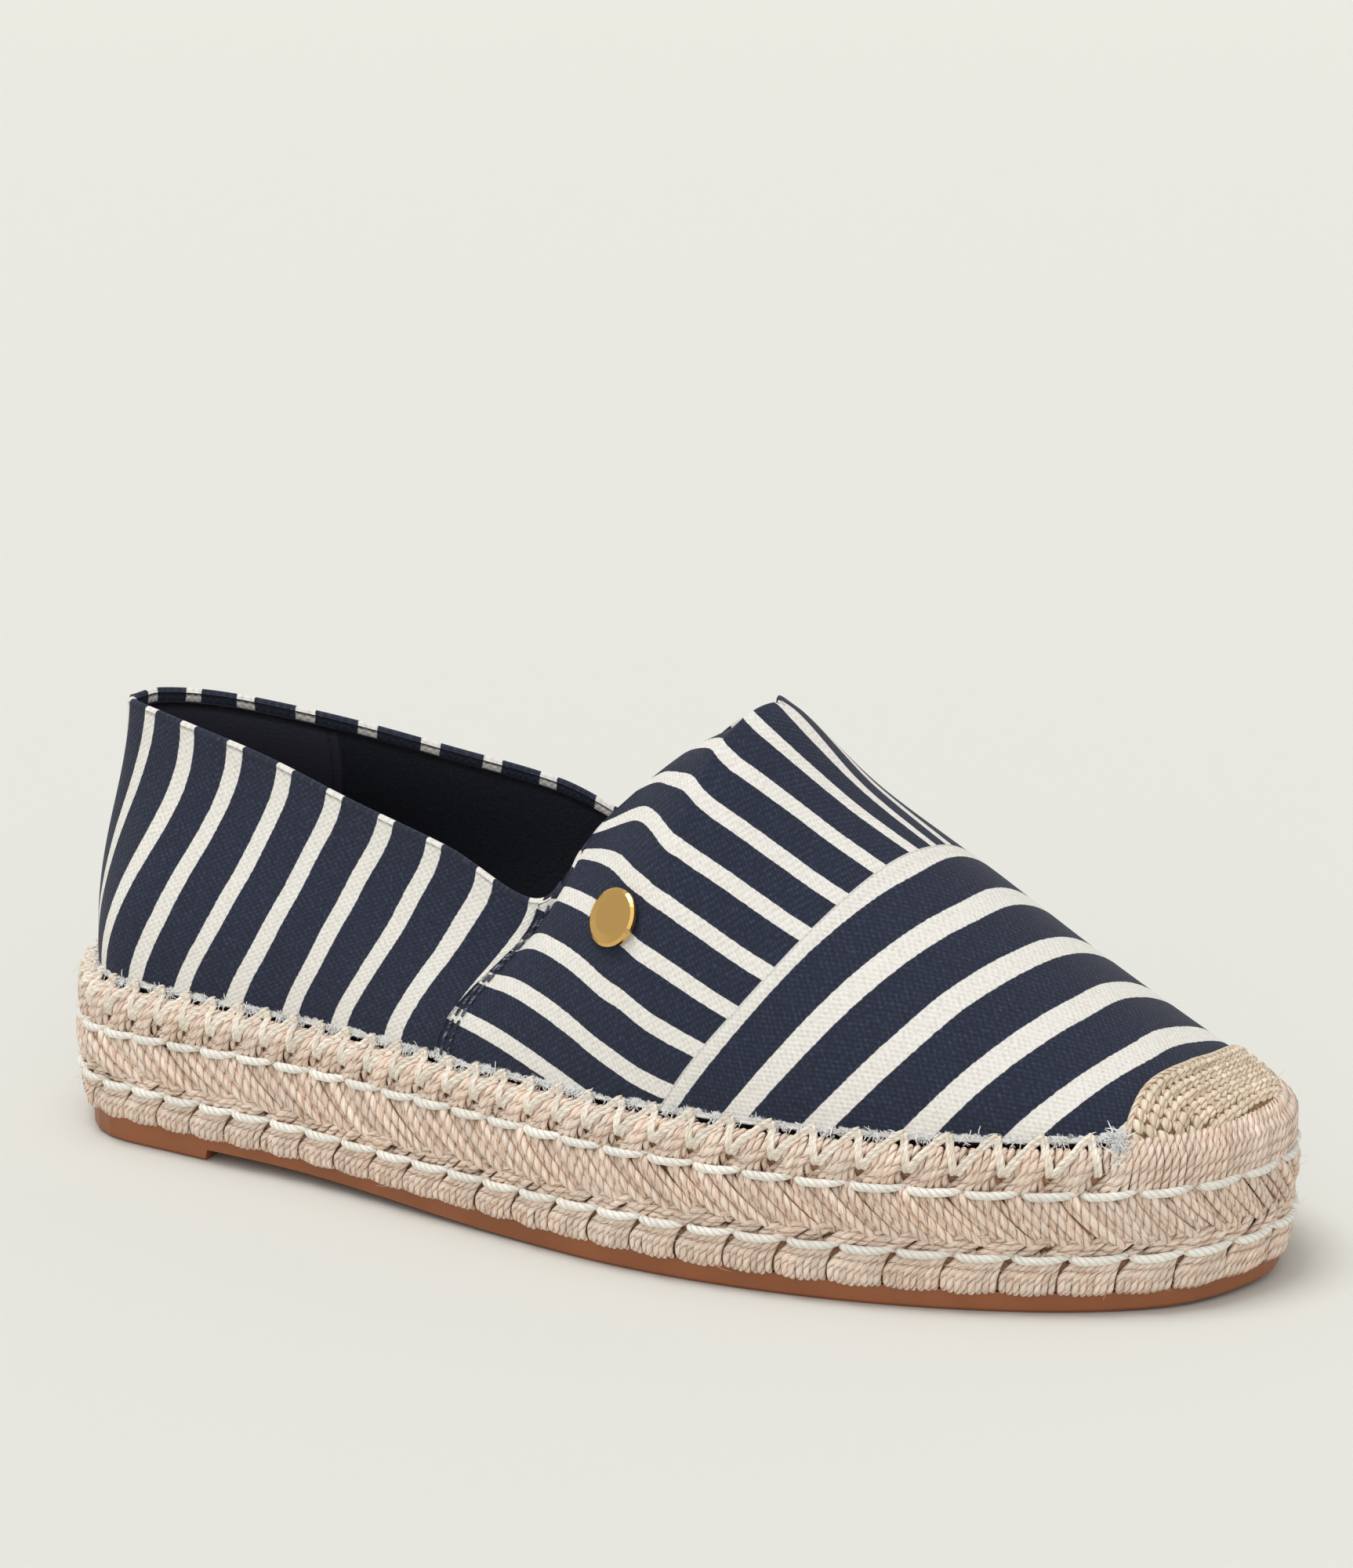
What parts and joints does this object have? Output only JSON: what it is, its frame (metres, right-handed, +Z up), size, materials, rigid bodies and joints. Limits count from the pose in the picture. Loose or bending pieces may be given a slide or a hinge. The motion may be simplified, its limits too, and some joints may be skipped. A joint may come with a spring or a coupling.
{
  "type": "espadrille",
  "caption": "Flat slip-on espadrille with a thick rope midsole, hollow striped canvas upper, lapped vamp and crocheted toe cap.",
  "frame": {"origin": "middle of the footprint on the floor", "axes": "+X from heel to toe, +Y to the inner side of a right foot, +Z up"},
  "size_m": [0.259, 0.0954, 0.1023],
  "materials": {
    "rubber": "satin",
    "jute": "coarse matte",
    "canvas": "matte weave",
    "crochet": "soft sheen",
    "footbed": "matte",
    "gold": "polished"
  },
  "bodies": {
    "root": {"outsole": "rubber", "lower_rope_course": "jute", "braid_course": "jute", "upper_rope_course": "jute", "insole": "footbed", "upper": "canvas", "toe_cap": "crochet", "ornament": "gold"}
  },
  "joints": []
}
